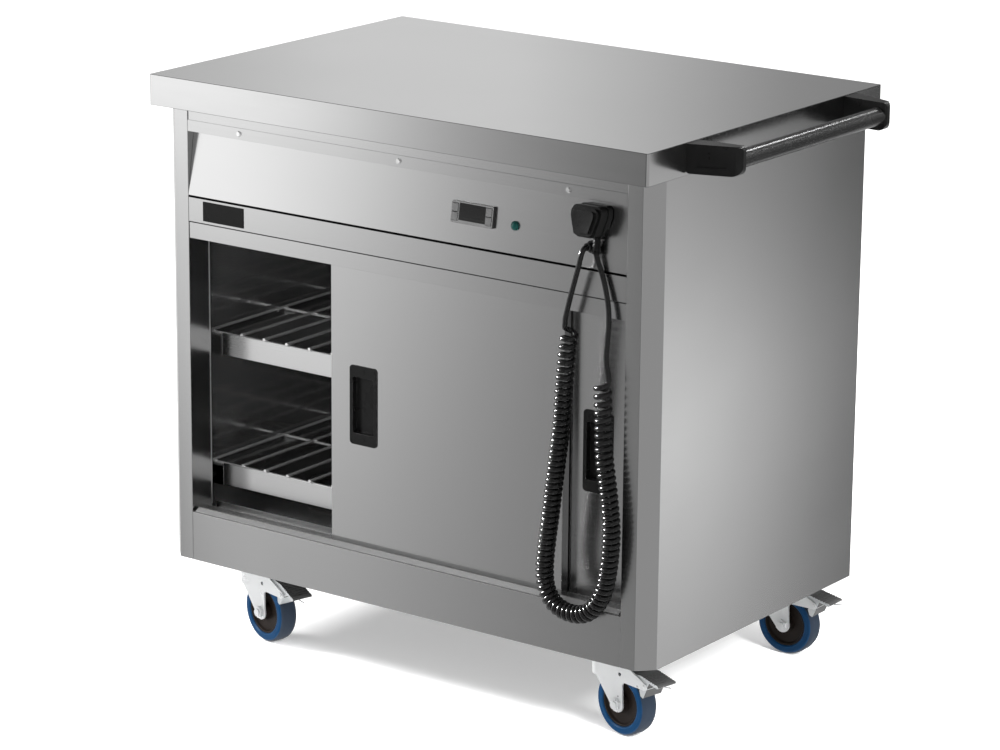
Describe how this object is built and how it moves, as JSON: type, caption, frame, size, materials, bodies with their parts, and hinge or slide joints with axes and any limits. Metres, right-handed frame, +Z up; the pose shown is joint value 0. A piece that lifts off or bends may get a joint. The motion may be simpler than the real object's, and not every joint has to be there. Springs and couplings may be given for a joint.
{
  "type": "hostess trolley",
  "caption": "Mobile heated hostess trolley: folded steel cabinet with sliding doors, wire shelves, sloping control panel, push handle and braked castors.",
  "frame": {"origin": "on the floor, under the middle of the trolley's outline, push handle included and mains cord left out", "axes": "+Z up, the doors and controls face -Y, the push handle is on the +X end"},
  "size_m": [0.992, 0.6335, 0.9],
  "materials": {
    "stainless": "brushed",
    "liner_steel": "mill finish",
    "shelf_steel": "bright",
    "screw_steel": "bright",
    "element_sheath": "heat darkened",
    "controller_grey": "satin",
    "key_grey": "satin",
    "lamp_green": "gloss",
    "black_plastic": "satin",
    "black_coating": "satin",
    "badge_black": "satin",
    "cord_black": "satin",
    "pin_brass": "bright",
    "zinc_plate": "zinc plated",
    "hub_dark": "matte",
    "tyre_blue": "satin",
    "pedal_grey": "satin"
  },
  "bodies": {
    "cabinet": {"worktop": "stainless", "left_side": "stainless", "right_side": "stainless", "back_panel": "stainless", "base_pan": "liner_steel", "kick_panel": "stainless", "top_rail": "stainless", "control_panel": "stainless", "door_header": "stainless", "upper_track": "stainless", "lower_track": "stainless", "panel_screws": "screw_steel", "liner_sides": "liner_steel", "liner_back": "liner_steel", "liner_ceiling": "liner_steel", "liner_floor": "liner_steel", "shelf_bearers": "shelf_steel", "shelf_rails": "shelf_steel", "upper_shelf": "shelf_steel", "lower_shelf": "shelf_steel", "heating_element": "element_sheath", "controller": "controller_grey", "indicator_lamp": "lamp_green", "cable_gland": "black_plastic", "plug_holder": "black_plastic", "handle_tube": "black_coating", "handle_brackets": "black_plastic", "castor_plates": "zinc_plate", "badge_plate": "badge_black", "gland_lead": "cord_black", "coiled_cord": "cord_black", "plug_lead": "cord_black", "plug": "black_plastic", "plug_pins": "pin_brass"},
    "front_door": {"front_door": "stainless", "front_door_inner": "stainless", "front_door_pull": "black_plastic"},
    "rear_door": {"rear_door": "stainless", "rear_door_inner": "stainless", "rear_door_pull": "black_plastic"},
    "up_key": {"key_up": "key_grey"},
    "down_key": {"key_down": "key_grey"},
    "set_key": {"key_set": "key_grey"},
    "power_key": {"key_power": "key_grey"},
    "castor_front_left": {"fork_front_left": "zinc_plate"},
    "wheel_front_left": {"hub_front_left": "hub_dark", "tyre_front_left": "tyre_blue"},
    "brake_front_left": {"pedal_front_left": "pedal_grey"},
    "castor_front_right": {"fork_front_right": "zinc_plate"},
    "wheel_front_right": {"hub_front_right": "hub_dark", "tyre_front_right": "tyre_blue"},
    "brake_front_right": {"pedal_front_right": "pedal_grey"},
    "castor_back_left": {"fork_back_left": "zinc_plate"},
    "wheel_back_left": {"hub_back_left": "hub_dark", "tyre_back_left": "tyre_blue"},
    "brake_back_left": {"pedal_back_left": "pedal_grey"},
    "castor_back_right": {"fork_back_right": "zinc_plate"},
    "wheel_back_right": {"hub_back_right": "hub_dark", "tyre_back_right": "tyre_blue"},
    "brake_back_right": {"pedal_back_right": "pedal_grey"}
  },
  "joints": [
    {"name": "front_door_slide", "type": "slide", "parent": "cabinet", "child": "front_door", "axis": [1, 0, 0], "range_m": [-0.262, 0.118]},
    {"name": "rear_door_slide", "type": "slide", "parent": "cabinet", "child": "rear_door", "axis": [1, 0, 0], "range_m": [-0.372, 0.008]},
    {"name": "up_key_press", "type": "slide", "parent": "cabinet", "child": "up_key", "axis": [0, 0.9897, -0.1432], "range_m": [0, 0.0006], "stiffness_N_per_m": 700, "springref_m": -0.0004},
    {"name": "down_key_press", "type": "slide", "parent": "cabinet", "child": "down_key", "axis": [0, 0.9897, -0.1432], "range_m": [0, 0.0006], "stiffness_N_per_m": 700, "springref_m": -0.0004},
    {"name": "set_key_press", "type": "slide", "parent": "cabinet", "child": "set_key", "axis": [0, 0.9897, -0.1432], "range_m": [0, 0.0006], "stiffness_N_per_m": 700, "springref_m": -0.0004},
    {"name": "power_key_press", "type": "slide", "parent": "cabinet", "child": "power_key", "axis": [0, 0.9897, -0.1432], "range_m": [0, 0.0006], "stiffness_N_per_m": 700, "springref_m": -0.0004},
    {"name": "castor_front_left_swivel", "type": "hinge", "parent": "cabinet", "child": "castor_front_left", "pos_m": [-0.3765, -0.214, 0.12], "axis": [0, 0, 1], "continuous": true},
    {"name": "wheel_front_left_spin", "type": "hinge", "parent": "castor_front_left", "child": "wheel_front_left", "pos_m": [-0.33786, -0.22435, 0.05], "axis": [0.2588, 0.9659, 0], "continuous": true},
    {"name": "brake_front_left_press", "type": "hinge", "parent": "castor_front_left", "child": "brake_front_left", "pos_m": [-0.28474, -0.23859, 0.092], "axis": [0.2588, 0.9659, 0], "range_deg": [-14, 0]},
    {"name": "castor_front_right_swivel", "type": "hinge", "parent": "cabinet", "child": "castor_front_right", "pos_m": [0.2995, -0.214, 0.12], "axis": [0, 0, 1], "continuous": true},
    {"name": "wheel_front_right_spin", "type": "hinge", "parent": "castor_front_right", "child": "wheel_front_right", "pos_m": [0.33863, -0.22232, 0.05], "axis": [0.2079, 0.9781, 0], "continuous": true},
    {"name": "brake_front_right_press", "type": "hinge", "parent": "castor_front_right", "child": "brake_front_right", "pos_m": [0.39242, -0.23375, 0.092], "axis": [0.2079, 0.9781, 0], "range_deg": [0, 14]},
    {"name": "castor_back_left_swivel", "type": "hinge", "parent": "cabinet", "child": "castor_back_left", "pos_m": [-0.3765, 0.226, 0.12], "axis": [0, 0, 1], "continuous": true},
    {"name": "wheel_back_left_spin", "type": "hinge", "parent": "castor_back_left", "child": "wheel_back_left", "pos_m": [-0.33891, 0.23968, 0.05], "axis": [-0.342, 0.9397, 0], "continuous": true},
    {"name": "brake_back_left_press", "type": "hinge", "parent": "castor_back_left", "child": "brake_back_left", "pos_m": [-0.28723, 0.25849, 0.092], "axis": [-0.342, 0.9397, 0], "range_deg": [0, 14]},
    {"name": "castor_back_right_swivel", "type": "hinge", "parent": "cabinet", "child": "castor_back_right", "pos_m": [0.2995, 0.226, 0.12], "axis": [0, 0, 1], "continuous": true},
    {"name": "wheel_back_right_spin", "type": "hinge", "parent": "castor_back_right", "child": "wheel_back_right", "pos_m": [0.3395, 0.226, 0.05], "axis": [0, 1, 0], "continuous": true},
    {"name": "brake_back_right_press", "type": "hinge", "parent": "castor_back_right", "child": "brake_back_right", "pos_m": [0.3945, 0.226, 0.092], "axis": [0, 1, 0], "range_deg": [0, 14]}
  ]
}
